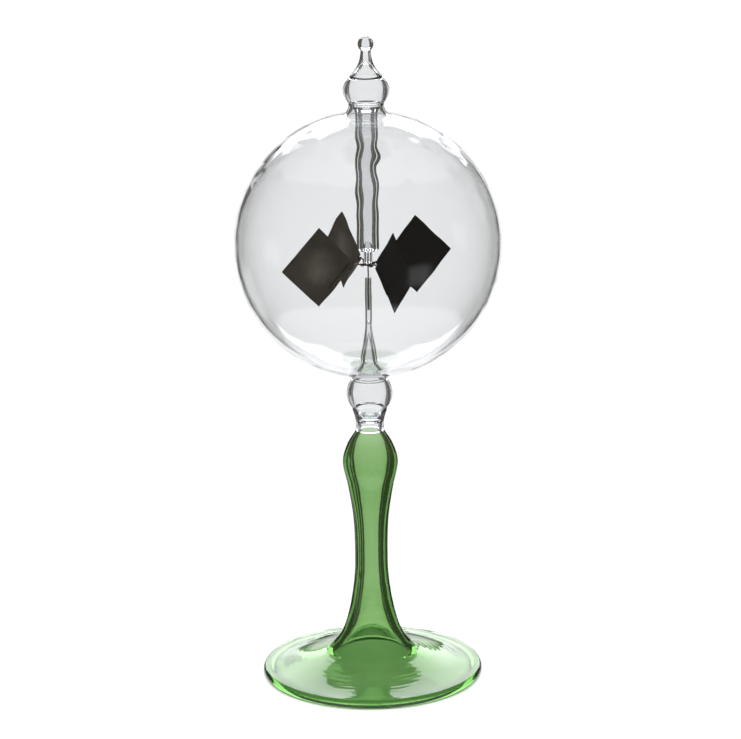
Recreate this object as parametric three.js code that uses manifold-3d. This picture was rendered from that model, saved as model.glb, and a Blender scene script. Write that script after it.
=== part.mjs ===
// Light mill (Crookes radiometer) on a green glass foot.
//
// Millimetres, +Z up. The origin is the centre of the ring that the foot stands on.
// A sealed clear bulb holds a steel needle in a glass holder. A glass cap with four
// wire arms and four sheet-metal vanes balances on the needle's point and turns there.
// Every glass piece is a solid of revolution about the Z axis. Its outline is a list of
// [radius, height] points that runs once round the section. Glass pieces that are fused
// on the real object face each other across sealGap.

import * as THREE from "three";
import * as BufferGeometryUtils from "three/addons/utils/BufferGeometryUtils.js";
import Module from "manifold-3d";

const wasm = await Module();
wasm.setup();

// ---------------------------------------------------------------------------------------
// Driving dimensions (mm)
// ---------------------------------------------------------------------------------------

const sealGap = 0.3;               // between glass pieces that are fused face to face
const fineGap = 0.15;              // round the needle in its holder and the wires in the hems
const pivotGap = 0.1;              // between the needle's point and the cap's bearing

const foot = {
  radius: 33.7,                    // to the outside of the rim
  rimRadius: 1.5,                  // the rim is a round bead of glass
  flatDepth: 0.12,                 // how much of the bead is ground away where it stands
  seatHeight: 7.0,                 // where the stem is fused on
  plate: 1.6,                      // thickness of the sloping glass
};

const stem = {
  height: 70.3,
  baseRadius: 13.9,
  flareRadius: 9.4,
  throatRadius: 7.05,
  waistRadius: 5.0,
  shoulderRadius: 6.9,
  knopRadius: 8.4,
  baseBore: 0.775,                 // the bore's share of the outside radius at the foot,
  flareBore: 0.73,                 // in the flare,
  waistBore: 0.56,                 // at the waist,
  knopBore: 0.73,                  // in the knop
  topBore: 0.65,                   // and at the top
};

const stemNeck = {
  height: 6.6,
  wall: 1.2,
  radius: 4.25,                    // the stem's top end is as wide
  topRadius: 5.3,
  septumHeight: 3.6,               // height of the closed end inside the neck
  septum: 1.0,                     // its thickness
};

const globe = {
  radius: 40.0,
  wall: 1.1,
  lowerFillet: 2.0,                // outside fillets where the necks leave the ball
  upperFillet: 3.0,
  lowerNeckRadius: 5.65,
  upperNeckRadius: 5.3,
  neckLand: 0.3,                   // straight end of each neck
};

// The hollow bulges under and over the bulb end as wide as what they are fused to. crest is
// the share of a bead's height at which it is widest.
const lowerBead = { height: 8.9, radius: 6.95, crest: 0.48, wall: 1.3 };
const topBead = { height: 7.9, radius: 6.9, crest: 0.56, wall: 1.3 };

const finial = {
  coneHeight: 7.8,
  baseRadius: 4.85,
  wall: 1.2,
  boreHeight: 4.6,                 // how far the cone is hollow
  neckRadius: 1.5,
  ballRadius: 2.35,
};

const retainingTube = {
  wall: 1.55,
  capPlay: 0.5,                    // between the cap and the tube round it
  capCover: 2.7,                   // how far the tube reaches down over the cap
  collarHeight: 1.6,               // its widened top end, fused inside the bulb's neck
};

const needleHolder = {
  height: 30.9,
  stemRadius: 0.98,
  straight: 14.7,                  // length of the thin upper part
  baseRadius: 2.75,
  wall: 0.9,                       // wall of the hollow, flared lower part
  solidTip: 2.0,                   // solid glass under the start of the flare
};

const needle = { radius: 0.22, setDepth: 9.8, reach: 9.5, pointLength: 1.8 };

const bearingCap = {
  play: 0.53,                      // between the needle and the cap's bore
  wall: 0.55,
  crown: 1.6,                      // glass over the bearing
  skirt: 4.9,                      // from the bearing down to the open end
};

const wireRadius = 0.2;            // spider ring and arms

const vane = {
  side: 17.05,
  sheet: 0.2,
  tilt: THREE.MathUtils.degToRad(43.9),      // how far the hemmed edge points below level
  tubePlay: 1.05,                            // inner corner outside the retaining tube
  cornerLift: 0.8,                           // inner corner above the spider's ring
  hemLength: 11.0,
  hemWidth: 1.6,
  notch: 1.2,                                // corner cut away where the wire bends in
};

const vaneCount = 4;
const firstVaneAngle = THREE.MathUtils.degToRad(27.3);   // where the mill came to rest

const ballSegments = 40;
const tubeSegments = 20;
const fineSegments = 12;
const wireSegments = 8;

// ---------------------------------------------------------------------------------------
// Heights worked out from the pieces, from the floor up
// ---------------------------------------------------------------------------------------

const stemBottom = foot.seatHeight + sealGap;
const stemTop = stemBottom + stem.height;
const stemNeckBottom = stemTop + sealGap;
const stemNeckTop = stemNeckBottom + stemNeck.height;
const lowerBeadBottom = stemNeckTop + sealGap;
const globeBottom = lowerBeadBottom + lowerBead.height + sealGap;

// Height between the ball's centre and the centre of a neck's fillet.
const filletRise = (fillet, neckRadius) =>
  Math.sqrt((globe.radius + fillet) ** 2 - (neckRadius + fillet) ** 2);

const lowerRise = filletRise(globe.lowerFillet, globe.lowerNeckRadius);
const upperRise = filletRise(globe.upperFillet, globe.upperNeckRadius);
const globeCentre = globeBottom + globe.neckLand + lowerRise;
const globeTop = globeCentre + upperRise + globe.neckLand;
const topBeadBottom = globeTop + sealGap;
const finialBottom = topBeadBottom + topBead.height + sealGap;

const holderBottom = globeBottom + sealGap;
const holderTop = holderBottom + needleHolder.height;
const needleBottom = holderTop - needle.setDepth;
const needleTip = holderTop + needle.reach;
const capBearing = needleTip + pivotGap;
const capTop = capBearing + bearingCap.crown;
const capBottom = capBearing - bearingCap.skirt;
const spiderHeight = capBottom - sealGap - wireRadius;
const tubeBottom = capTop - retainingTube.capCover;

// Radii of what turns on the needle and of what goes round it, from the needle outwards.

const capBore = needle.radius + bearingCap.play;
const capRadius = capBore + bearingCap.wall;
const spiderRadius = capRadius - 0.5 * bearingCap.wall;
const tubeBore = capRadius + retainingTube.capPlay;
const tubeRadius = tubeBore + retainingTube.wall;
const vaneInnerRadius = tubeRadius + vane.tubePlay;

// ---------------------------------------------------------------------------------------
// Materials
// ---------------------------------------------------------------------------------------

const clearGlass = () => new THREE.MeshStandardMaterial({
  color: 0xe9eff0, roughness: 0.03, metalness: 0, transparent: true, opacity: 0.3,
});
const greenGlass = () => new THREE.MeshStandardMaterial({
  color: 0x4fa55a, roughness: 0.04, metalness: 0, transparent: true, opacity: 0.7,
});
const steel = () => new THREE.MeshStandardMaterial({
  color: 0x55524e, roughness: 0.35, metalness: 1,
});
const vaneMetal = () => new THREE.MeshStandardMaterial({
  color: 0x2b2926, roughness: 0.6, metalness: 0.4,
});

// ---------------------------------------------------------------------------------------
// Outlines and solids
// ---------------------------------------------------------------------------------------

// Points on an arc about [radius, height], angles in radians from the outward direction.
function arc(centre, radius, from, to, steps) {
  const points = [];
  for (let i = 0; i <= steps; i += 1) {
    const angle = from + (to - from) * i / steps;
    points.push([centre[0] + radius * Math.cos(angle), centre[1] + radius * Math.sin(angle)]);
  }
  return points;
}

// A smooth line through a few chosen [radius, height] points.
function smooth(points, steps) {
  const through = points.map(([radius, height]) => new THREE.Vector3(radius, height, 0));
  const curve = new THREE.CatmullRomCurve3(through, false, "centripetal");
  return curve.getSpacedPoints(steps).map((point) => [point.x, point.y]);
}

// Turns an outside line, bottom to top, into a wall of even radial thickness.
function walled(outside, wall) {
  const inside = outside.map(([radius, height]) => [radius - wall, height]).reverse();
  return [...outside, ...inside, outside[0]];
}

// Revolves an outline about Z. An outline off the axis ends where it starts.
function turned(outline, segments) {
  const points = outline.map(([radius, height]) => new THREE.Vector2(radius, height));
  const geometry = new THREE.LatheGeometry(points, segments);
  geometry.rotateX(Math.PI / 2);
  return geometry;
}

// Makes a manifold solid from a closed three.js geometry.
function toSolid(geometry) {
  const bare = geometry.clone();
  bare.deleteAttribute("normal");
  bare.deleteAttribute("uv");
  const merged = BufferGeometryUtils.mergeVertices(bare, 1e-5);
  return new wasm.Manifold(new wasm.Mesh({
    numProp: 3,
    vertProperties: new Float32Array(merged.attributes.position.array),
    triVerts: new Uint32Array(merged.index.array),
  }));
}

function fromSolid(solid) {
  const mesh = solid.getMesh();
  const geometry = new THREE.BufferGeometry();
  geometry.setAttribute("position", new THREE.BufferAttribute(mesh.vertProperties, 3));
  geometry.setIndex(new THREE.BufferAttribute(mesh.triVerts, 1));
  geometry.computeVertexNormals();
  return geometry;
}

function named(name, geometry, material) {
  const mesh = new THREE.Mesh(geometry, material);
  mesh.name = name;
  return mesh;
}

// ---------------------------------------------------------------------------------------
// Foot, stem and necks
// ---------------------------------------------------------------------------------------

// The wall slopes on from the stem's mouth to a round rim, like the bell of a trumpet. The
// foot is open underneath and stands on a narrow flat ring ground into the rim.
function makeFoot() {
  const rim = foot.rimRadius;
  const centre = [foot.radius - rim, rim - foot.flatDepth];
  const run = centre[0] - stem.baseRadius;
  const rise = foot.seatHeight - centre[1];
  // The disc's top leaves the rim at a tangent.
  const slope = Math.atan2(rise, run) - Math.asin(rim / Math.hypot(run, rise));
  const flatAngle = Math.acos((rim - foot.flatDepth) / rim);
  const underAngle = Math.PI - slope + Math.asin((foot.plate - rim) / rim);
  return turned([
    [stem.baseRadius * stem.baseBore + 0.15, foot.seatHeight],
    [0.9 * stem.baseRadius, foot.seatHeight - foot.plate],
    ...arc(centre, rim, underAngle, 1.5 * Math.PI - flatAngle, 4),
    ...arc(centre, rim, -0.5 * Math.PI + flatAngle, 0.5 * Math.PI - slope, 7),
    [stem.baseRadius, foot.seatHeight],
    [stem.baseRadius * stem.baseBore + 0.15, foot.seatHeight],
  ], ballSegments);
}

// A drawn tube with a thick wall: a wide flare, a long waist and a round knop under a
// narrow top. Each row is [outside radius, share of the height, bore's share of the radius].
function makeStem() {
  const rows = [
    [stem.baseRadius, 0, stem.baseBore],
    [stem.flareRadius, 0.081, stem.flareBore],
    [stem.throatRadius, 0.18, 0.5 * (stem.flareBore + stem.waistBore)],
    [stem.waistRadius + 0.3, 0.33, stem.waistBore + 0.02],
    [stem.waistRadius, 0.44, stem.waistBore],
    [stem.waistRadius + 0.4, 0.607, stem.waistBore + 0.02],
    [stem.shoulderRadius, 0.75, 0.5 * (stem.waistBore + stem.knopBore)],
    [stem.knopRadius, 0.865, stem.knopBore],
    [stem.shoulderRadius, 0.94, stem.knopBore],
    [stemNeck.radius, 1, stem.topBore],
  ];
  const line = (radius) => smooth(
    rows.map((row) => [radius(row), stemBottom + row[1] * stem.height]), 18,
  );
  const outside = line((row) => row[0]);
  const bore = line((row) => row[0] * row[2]).reverse();
  return turned([...outside, ...bore, outside[0]], tubeSegments);
}

// A clear tube with a closed end inside it, which seals the bulb from the hollow stem.
function makeStemNeck() {
  const outside = smooth([
    [stemNeck.radius, stemNeckBottom],
    [stemNeck.radius, stemNeckBottom + 0.4 * stemNeck.height],
    [stemNeck.radius + 0.35, stemNeckBottom + 0.65 * stemNeck.height],
    [stemNeck.topRadius, stemNeckTop],
  ], 8);
  const bore = stemNeck.radius - stemNeck.wall;
  const septumBottom = stemNeckBottom + stemNeck.septumHeight;
  const septumTop = septumBottom + stemNeck.septum;
  return turned([
    [0, septumBottom],
    [bore, septumBottom],
    [bore, stemNeckBottom],
    ...outside,
    [stemNeck.topRadius - stemNeck.wall, stemNeckTop],
    [bore, septumTop],
    [0, septumTop],
  ], tubeSegments);
}

// A hollow bulge between two ends of given radii.
function makeBead(bead, bottom, bottomRadius, topRadius) {
  const swell = (radius) => radius + 0.72 * (bead.radius - radius);
  const outside = smooth([
    [bottomRadius, bottom],
    [swell(bottomRadius), bottom + 0.45 * bead.crest * bead.height],
    [bead.radius, bottom + bead.crest * bead.height],
    [swell(topRadius), bottom + 0.5 * (1 + bead.crest) * bead.height],
    [topRadius, bottom + bead.height],
  ], 8);
  return turned(walled(outside, bead.wall), tubeSegments);
}

const makeLowerBead = () =>
  makeBead(lowerBead, lowerBeadBottom, stemNeck.topRadius, globe.lowerNeckRadius);

const makeTopBead = () =>
  makeBead(topBead, topBeadBottom, globe.upperNeckRadius, finial.baseRadius);

// ---------------------------------------------------------------------------------------
// Bulb, finial and the glass inside
// ---------------------------------------------------------------------------------------

// One side of the bulb's wall, bottom to top. depth is how far it lies under the outside,
// and steps is the number of facets from the widest point to a neck.
function globeLine(depth, steps) {
  const lowerCentre = [globe.lowerNeckRadius + globe.lowerFillet, globeCentre - lowerRise];
  const upperCentre = [globe.upperNeckRadius + globe.upperFillet, globeCentre + upperRise];
  const lowerAngle = Math.atan2(lowerRise, lowerCentre[0]);
  const upperAngle = Math.atan2(upperRise, upperCentre[0]);
  const lowerFillet = globe.lowerFillet + depth;
  const upperFillet = globe.upperFillet + depth;
  return [
    [globe.lowerNeckRadius - depth, globeBottom],
    ...arc(lowerCentre, lowerFillet, Math.PI, Math.PI - lowerAngle, 3),
    ...arc([0, globeCentre], globe.radius - depth, -lowerAngle, 0, steps).slice(1),
    ...arc([0, globeCentre], globe.radius - depth, 0, upperAngle, steps).slice(1, -1),
    ...arc(upperCentre, upperFillet, Math.PI + upperAngle, Math.PI, 3),
    [globe.upperNeckRadius - depth, globeTop],
  ];
}

function makeGlobe() {
  const outside = globeLine(0, 7);
  const inside = globeLine(globe.wall, 6).reverse();
  return turned([...outside, ...inside, outside[0]], ballSegments);
}

// The drawn-out tip where the bulb was sealed off, ending in a small ball.
function makeFinial() {
  const coneTop = finialBottom + finial.coneHeight;
  const ballDrop = Math.sqrt(finial.ballRadius ** 2 - finial.neckRadius ** 2);
  const ballStart = -Math.atan2(ballDrop, finial.neckRadius);
  const outside = smooth([
    [finial.baseRadius, finialBottom],
    [0.74 * finial.baseRadius, finialBottom + 0.19 * finial.coneHeight],
    [finial.neckRadius + 0.7, finialBottom + 0.5 * finial.coneHeight],
    [finial.neckRadius + 0.1, finialBottom + 0.83 * finial.coneHeight],
    [finial.neckRadius, coneTop],
  ], 9);
  const ball = arc([0, coneTop + ballDrop], finial.ballRadius, ballStart, 0.5 * Math.PI, 8);
  return turned([
    [0, finialBottom + finial.boreHeight],
    [0.35 * (finial.baseRadius - finial.wall), finialBottom + 0.6 * finial.boreHeight],
    [finial.baseRadius - finial.wall, finialBottom],
    ...outside,
    ...ball.slice(1, -1),
    [0, coneTop + ballDrop + finial.ballRadius],
  ], tubeSegments);
}

// An open tube that hangs over the cap and keeps the mill on its needle.
function makeRetainingTube() {
  const lip = 0.5 * retainingTube.wall;
  const lipCentre = [tubeRadius - lip, tubeBottom + lip];
  const collarRadius = globe.upperNeckRadius - globe.wall - sealGap;
  return turned([
    [tubeBore, globeTop],
    ...arc(lipCentre, lip, -Math.PI, 0, 6),
    [tubeRadius, globeTop - retainingTube.collarHeight],
    [collarRadius, globeTop - 0.5 * retainingTube.collarHeight],
    [collarRadius, globeTop],
    [tubeBore, globeTop],
  ], tubeSegments);
}

// A thin rod with a bore for the needle on a hollow flared base that closes the bulb.
function makeNeedleHolder() {
  const bore = needle.radius + fineGap;
  const flareTop = holderTop - needleHolder.straight;
  const collarRadius = globe.lowerNeckRadius - globe.wall - sealGap;
  const flare = smooth([
    [collarRadius, holderBottom],
    [needleHolder.baseRadius, holderBottom + 0.12 * needleHolder.height],
    [0.88 * needleHolder.baseRadius, holderBottom + 0.22 * needleHolder.height],
    [0.55 * needleHolder.baseRadius, holderBottom + 0.38 * needleHolder.height],
    [needleHolder.stemRadius, flareTop],
  ], 12);
  return turned([
    [0, flareTop - needleHolder.solidTip],
    [0.15 * needleHolder.baseRadius, holderBottom + 0.38 * needleHolder.height],
    [needleHolder.baseRadius - needleHolder.wall, holderBottom + 0.12 * needleHolder.height],
    [collarRadius - needleHolder.wall, holderBottom],
    ...flare,
    [needleHolder.stemRadius, holderTop],
    [bore, holderTop],
    [bore, needleBottom - sealGap],
    [0, needleBottom - sealGap],
  ], fineSegments);
}

// ---------------------------------------------------------------------------------------
// Needle and mill
// ---------------------------------------------------------------------------------------

function makeNeedle() {
  return turned([
    [0, needleBottom],
    [needle.radius, needleBottom],
    [needle.radius, needleTip - needle.pointLength],
    [0, needleTip],
  ], fineSegments);
}

// A round-topped glass cup, open below, with a conical bearing for the needle's point.
function makeBearingCap() {
  const domeCentre = [0, capTop - capRadius];
  return turned([
    [0, capBearing],
    [capBore, capBearing - 1.5 * capBore],
    [capBore, capBottom],
    [capRadius, capBottom],
    ...arc(domeCentre, capRadius, 0, 0.5 * Math.PI, 5).slice(0, -1),
    [0, capTop],
  ], fineSegments);
}

function makeSpiderRing() {
  const ring = new THREE.TorusGeometry(spiderRadius, wireRadius, wireSegments, tubeSegments);
  ring.translate(0, 0, spiderHeight);
  return ring;
}

// A vane is drawn on the cross-section of its hem: x is sideways, the way the mill turns,
// y runs up into the sheet and z runs down the hemmed edge from the vane's inner corner.
const sideways = new THREE.Vector3(0, 1, 0);
const across = new THREE.Vector3(Math.sin(vane.tilt), 0, Math.cos(vane.tilt));
const along = new THREE.Vector3(Math.cos(vane.tilt), 0, -Math.sin(vane.tilt));
const innerCorner = new THREE.Vector3(vaneInnerRadius, 0, spiderHeight + vane.cornerLift);
const vaneFrame = new THREE.Matrix4()
  .makeBasis(sideways, across, along)
  .setPosition(innerCorner);

const channelRadius = wireRadius + fineGap;
const foldRadius = channelRadius + vane.sheet;
const foldCentre = foldRadius - 0.25 * vane.sheet;     // the fold stands a little proud

// A box in the vane's axes, given by its low and high corners.
function vaneBox(low, high) {
  const size = high.map((value, axis) => value - low[axis]);
  const box = new THREE.BoxGeometry(...size);
  box.translate(...low.map((value, axis) => value + size[axis] / 2));
  return toSolid(box.applyMatrix4(vaneFrame));
}

// The sheet wraps the wire and comes back as a flap against its own front.
function makeHem() {
  const flapFront = 1.5 * vane.sheet;
  const section = new THREE.Shape();
  section.moveTo(0, vane.hemWidth);
  section.lineTo(flapFront, vane.hemWidth);
  section.absarc(
    0, foldCentre, foldRadius,
    Math.acos(flapFront / foldRadius), -1.5 * Math.PI, true,
  );
  section.closePath();
  const hem = new THREE.ExtrudeGeometry(section, {
    depth: vane.hemLength,
    curveSegments: fineSegments,
    bevelEnabled: false,
  });
  return toSolid(hem.applyMatrix4(vaneFrame));
}

// The room for the wire runs a little past the hem's end.
function makeChannel() {
  const length = vane.hemLength + channelRadius + 1;
  const rod = new THREE.CylinderGeometry(channelRadius, channelRadius, length, fineSegments);
  rod.rotateX(Math.PI / 2);
  rod.translate(0, foldCentre, length / 2 - 1);
  return toSolid(rod.applyMatrix4(vaneFrame));
}

// A square sheet whose lower inner edge is folded over the wire as a hem.
function makeVane() {
  const half = vane.sheet / 2;
  const notchTop = foldCentre + channelRadius + fineGap;
  const sheet = vaneBox([-half, 0, 0], [half, vane.side, vane.side]);
  const notch = vaneBox([-1, -1, -1], [1, notchTop, vane.notch]);
  return fromSolid(sheet.add(makeHem()).subtract(makeChannel()).subtract(notch));
}

// A wire that leaves the spider's ring, bends at the vane's corner and runs down its hem.
function makeArm() {
  const onHem = (distance) => innerCorner.clone()
    .addScaledVector(along, distance)
    .addScaledVector(across, foldCentre);
  const start = new THREE.Vector3(spiderRadius + wireRadius + sealGap, 0, spiderHeight);
  const bend = onHem(vane.notch - 1.0);
  const end = vane.hemLength - sealGap;
  const path = new THREE.CatmullRomCurve3([
    start,
    start.clone().lerp(bend, 0.6),
    bend,
    onHem(vane.notch),
    onHem(vane.notch + 0.5 * (end - vane.notch)),
    onHem(end),
  ], false, "centripetal");
  const section = new THREE.Shape();
  section.absarc(0, 0, wireRadius, 0, 2 * Math.PI);
  return new THREE.ExtrudeGeometry(section, {
    steps: 14,
    curveSegments: wireSegments / 2,
    extrudePath: path,
    bevelEnabled: false,
  });
}

// ---------------------------------------------------------------------------------------
// Assembly
// ---------------------------------------------------------------------------------------

const lightMill = new THREE.Group();

lightMill.add(
  named("foot", makeFoot(), greenGlass()),
  named("green_stem", makeStem(), greenGlass()),
  named("stem_neck", makeStemNeck(), clearGlass()),
  named("lower_bead", makeLowerBead(), clearGlass()),
  named("globe", makeGlobe(), clearGlass()),
  named("top_bead", makeTopBead(), clearGlass()),
  named("finial", makeFinial(), clearGlass()),
  named("retaining_tube", makeRetainingTube(), clearGlass()),
  named("needle_holder", makeNeedleHolder(), clearGlass()),
  named("needle", makeNeedle(), steel()),
);

const mill = new THREE.Group();
mill.add(
  named("bearing_cap", makeBearingCap(), clearGlass()),
  named("spider_ring", makeSpiderRing(), steel()),
);

for (let i = 0; i < vaneCount; i += 1) {
  const spoke = new THREE.Group();
  spoke.rotation.z = firstVaneAngle + 2 * Math.PI * i / vaneCount;
  spoke.add(
    named(`arm_${i + 1}`, makeArm(), steel()),
    named(`vane_${i + 1}`, makeVane(), vaneMetal()),
  );
  mill.add(spoke);
}
lightMill.add(mill);

export default lightMill;
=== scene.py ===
# %% [markdown]
# # A light mill on a green glass foot
# A light mill is a sealed glass bulb with a very small windmill inside. Its four vanes are
# black on one side and bare metal on the other, and they turn when light falls on them.
# The measured model is loaded first and stays as the frame. Every piece made below takes its
# place from that frame, so nothing has to be fitted by eye.

# %% Load the measured model
import math

import bpy
from mathutils import Matrix, Vector, noise


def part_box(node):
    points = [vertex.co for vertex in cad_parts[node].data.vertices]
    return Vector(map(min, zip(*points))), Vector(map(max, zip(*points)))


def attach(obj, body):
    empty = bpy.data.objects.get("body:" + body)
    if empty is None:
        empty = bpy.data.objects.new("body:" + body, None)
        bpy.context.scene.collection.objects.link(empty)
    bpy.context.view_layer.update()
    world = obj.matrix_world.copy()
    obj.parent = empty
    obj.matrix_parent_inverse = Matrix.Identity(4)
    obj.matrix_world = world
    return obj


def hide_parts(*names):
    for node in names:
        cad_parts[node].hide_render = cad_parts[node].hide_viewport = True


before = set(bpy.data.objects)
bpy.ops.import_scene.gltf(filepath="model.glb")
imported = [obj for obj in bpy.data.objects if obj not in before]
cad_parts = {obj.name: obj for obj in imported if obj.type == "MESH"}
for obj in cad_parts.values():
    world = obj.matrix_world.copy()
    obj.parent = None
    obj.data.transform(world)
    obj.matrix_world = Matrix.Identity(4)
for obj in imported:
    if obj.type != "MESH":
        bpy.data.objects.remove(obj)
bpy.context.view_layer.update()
MM = 0.001

# %% [markdown]
# ## The camera
# A product photographer stands well back and uses a long lens, so that the bulb keeps its
# round shape. The camera is a little over a metre away and looks down by sixteen degrees.
# It is turned very slightly about its own line of sight, as a hand-levelled camera is.

# %% Make the camera
def make_camera(place, pitch, yaw, roll, lens):
    camera = bpy.data.objects.new("camera", bpy.data.cameras.new("camera"))
    bpy.context.scene.collection.objects.link(camera)
    turn_round = Matrix.Rotation(math.radians(yaw), 4, "Z")
    look_down = Matrix.Rotation(math.radians(90 - pitch), 4, "X")
    level = Matrix.Rotation(math.radians(roll), 4, "Z")
    camera.matrix_world = Matrix.Translation(place) @ turn_round @ look_down @ level
    camera.data.lens = lens
    camera.data.sensor_width = 36.0
    camera.data.clip_start = 0.01
    bpy.context.scene.camera = camera
    return camera


camera = make_camera((0.0, -1.050, 0.4007), pitch=16.15, yaw=-0.02, roll=-0.665, lens=176.26)
print("camera lens, mm:", camera.data.lens)

# %% [markdown]
# ## The studio
# Glass has no colour of its own to show. What is seen is the room, bent and mirrored by the
# glass, so the room is what draws it. Bright-field lighting is the usual way: white behind
# and below, which keeps the bulb clear, and dark flags to the sides and above, which the
# edges of the glass pick up as thin dark outlines. The room is painted on the world by
# direction, so it is endlessly far away. Where nothing stands in front, the wall is white.

# %% Small helpers for node trees
def put(tree, socket, value):
    """Link a socket to a socket, or write a plain value on it."""
    if isinstance(value, bpy.types.NodeSocket):
        tree.links.new(value, socket)
    else:
        socket.default_value = value


def sum_up(tree, operation, *values):
    node = tree.nodes.new("ShaderNodeMath")
    node.operation = operation
    for place, value in enumerate(values):
        put(tree, node.inputs[place], value)
    return node.outputs[0]


def rise(tree, value, low, high):
    """0 below low, 1 above high, and a soft step between."""
    node = tree.nodes.new("ShaderNodeMapRange")
    node.interpolation_type = "SMOOTHSTEP"
    put(tree, node.inputs["Value"], value)
    node.inputs["From Min"].default_value = low
    node.inputs["From Max"].default_value = high
    return node.outputs["Result"]


def within(tree, value, low, high, edge):
    """1 between low and high, with soft edges."""
    going_up = rise(tree, value, low - edge, low + edge)
    going_down = rise(tree, value, high + edge, high - edge)
    return sum_up(tree, "MULTIPLY", going_up, going_down)


def blend_colours(tree, share, first, second):
    node = tree.nodes.new("ShaderNodeMix")
    node.data_type = "RGBA"
    put(tree, node.inputs["Factor"], share)
    put(tree, node.inputs[6], first)
    put(tree, node.inputs[7], second)
    return node.outputs[2]


print("node helpers ready")

# %% [markdown]
# The room has these lights. A wide white card stands behind the mill, and a bright softbox
# hangs low behind it, which draws the white bands on the bulb and the foot. Three smaller and
# dimmer cards do the same for looks from other sides.

# %% Paint the room on the world
white_sweep = (1.03, 1.03, 1.03, 1.0)
dark_room = (0.125, 0.115, 0.10, 1.0)
back_softbox = (3.3, 3.35, 3.4, 1.0)
side_card = 0.65        # how white the three small cards are
side_cards = ((-45, -34, -17), (135, -23, -8), (-90, -12, 2))


def paint_room():
    world = bpy.data.worlds.new("studio")
    world.use_nodes = True
    bpy.context.scene.world = world
    tree = world.node_tree
    tree.nodes.clear()
    direction = tree.nodes.new("ShaderNodeTexCoord").outputs["Generated"]
    parts = tree.nodes.new("ShaderNodeSeparateXYZ")
    tree.links.new(direction, parts.inputs[0])
    east, north, up = parts.outputs
    height = sum_up(tree, "DEGREES", sum_up(tree, "ARCSINE", up))
    heading = sum_up(tree, "DEGREES", sum_up(tree, "ARCTAN2", east, north))
    aside = sum_up(tree, "ABSOLUTE", heading)

    low = rise(tree, height, 8, 3)
    cards = sum_up(tree, "MULTIPLY", rise(tree, aside, 22, 18), low)
    for card_heading, lowest, highest in side_cards:
        across_card = sum_up(tree, "ABSOLUTE", sum_up(tree, "SUBTRACT", heading, card_heading))
        card = sum_up(
            tree, "MULTIPLY",
            rise(tree, across_card, 14, 5), within(tree, height, lowest, highest, 4),
        )
        cards = sum_up(tree, "MAXIMUM", cards, sum_up(tree, "MULTIPLY", card, side_card))
    bright = sum_up(tree, "MAXIMUM", cards, rise(tree, height, -38, -44))
    colour = blend_colours(tree, bright, dark_room, white_sweep)
    softbox = sum_up(
        tree, "MULTIPLY",
        within(tree, height, 9, 39, 1.2),
        rise(tree, aside, 29, 26),
    )
    colour = blend_colours(tree, softbox, colour, back_softbox)
    seen_directly = tree.nodes.new("ShaderNodeLightPath").outputs["Is Camera Ray"]
    colour = blend_colours(tree, seen_directly, colour, white_sweep)

    background = tree.nodes.new("ShaderNodeBackground")
    tree.links.new(colour, background.inputs["Color"])
    output = tree.nodes.new("ShaderNodeOutputWorld")
    tree.links.new(background.outputs[0], output.inputs["Surface"])
    return world


room = paint_room()
print("room painted with", len(room.node_tree.nodes), "nodes")

# %% [markdown]
# ## The table
# The mill stands on a white light table, a translucent sheet that glows. Under the foot the
# glow carries a painted shadow, darker and green as if light got there only through the
# green glass. The sheet is a flat disc that fades out into the white room, which leaves no
# edge to see.

# %% Lay the table
# painted shadow of the foot: the glow under it is darker and green
painted_foot_shadow = (0.15, 0.29, 0.12, 1.0)
painted_shadow_edge = (0.0322, 0.0342)        # the tint fades out between these radii, in metres


def make_table(radius=0.080, glow=0.95):
    table_mesh = bpy.data.meshes.new("table")
    steps = 96
    rim = [
        (radius * math.cos(2 * math.pi * i / steps), radius * math.sin(2 * math.pi * i / steps), 0)
        for i in range(steps)
    ]
    table_mesh.from_pydata(rim, [], [list(range(steps))])
    table = bpy.data.objects.new("table", table_mesh)
    table.location.z = -0.00004
    bpy.context.scene.collection.objects.link(table)

    sheet = bpy.data.materials.new("table_sheet")
    sheet.use_nodes = True
    tree = sheet.node_tree
    tree.nodes.clear()
    place = tree.nodes.new("ShaderNodeTexCoord").outputs["Object"]
    far = tree.nodes.new("ShaderNodeVectorMath")
    far.operation = "LENGTH"
    tree.links.new(place, far.inputs[0])
    matt = tree.nodes.new("ShaderNodeBsdfDiffuse")
    matt.inputs["Color"].default_value = (0.92, 0.92, 0.93, 1.0)
    lamp = tree.nodes.new("ShaderNodeEmission")
    lamp.inputs["Strength"].default_value = glow
    # painted shadow: the glow is painted darker and green inside the foot's radius
    beyond_painted_shadow = rise(tree, far.outputs["Value"], *painted_shadow_edge)
    glow_with_painted_shadow = blend_colours(tree, beyond_painted_shadow, painted_foot_shadow, (1.0, 1.0, 1.0, 1.0))
    tree.links.new(glow_with_painted_shadow, lamp.inputs["Color"])
    both = tree.nodes.new("ShaderNodeAddShader")
    tree.links.new(matt.outputs[0], both.inputs[0])
    tree.links.new(lamp.outputs[0], both.inputs[1])
    clear = tree.nodes.new("ShaderNodeBsdfTransparent")
    fade = tree.nodes.new("ShaderNodeMixShader")
    edge = rise(tree, far.outputs["Value"], 0.5 * radius, 0.95 * radius)
    tree.links.new(edge, fade.inputs[0])
    tree.links.new(both.outputs[0], fade.inputs[1])
    tree.links.new(clear.outputs[0], fade.inputs[2])
    output = tree.nodes.new("ShaderNodeOutputMaterial")
    tree.links.new(fade.outputs[0], output.inputs["Surface"])
    table_mesh.materials.append(sheet)
    return table


table = make_table()
print("table sides:", len(table.data.vertices))

# %% Set how the light is traced
scene = bpy.context.scene
scene.view_settings.view_transform = "Standard"
scene.cycles.max_bounces = 32
scene.cycles.transmission_bounces = 32
scene.cycles.glossy_bounces = 12
scene.cycles.transparent_max_bounces = 12
scene.cycles.blur_glossy = 0.3
print("light may pass", scene.cycles.transmission_bounces, "glass surfaces")

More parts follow.
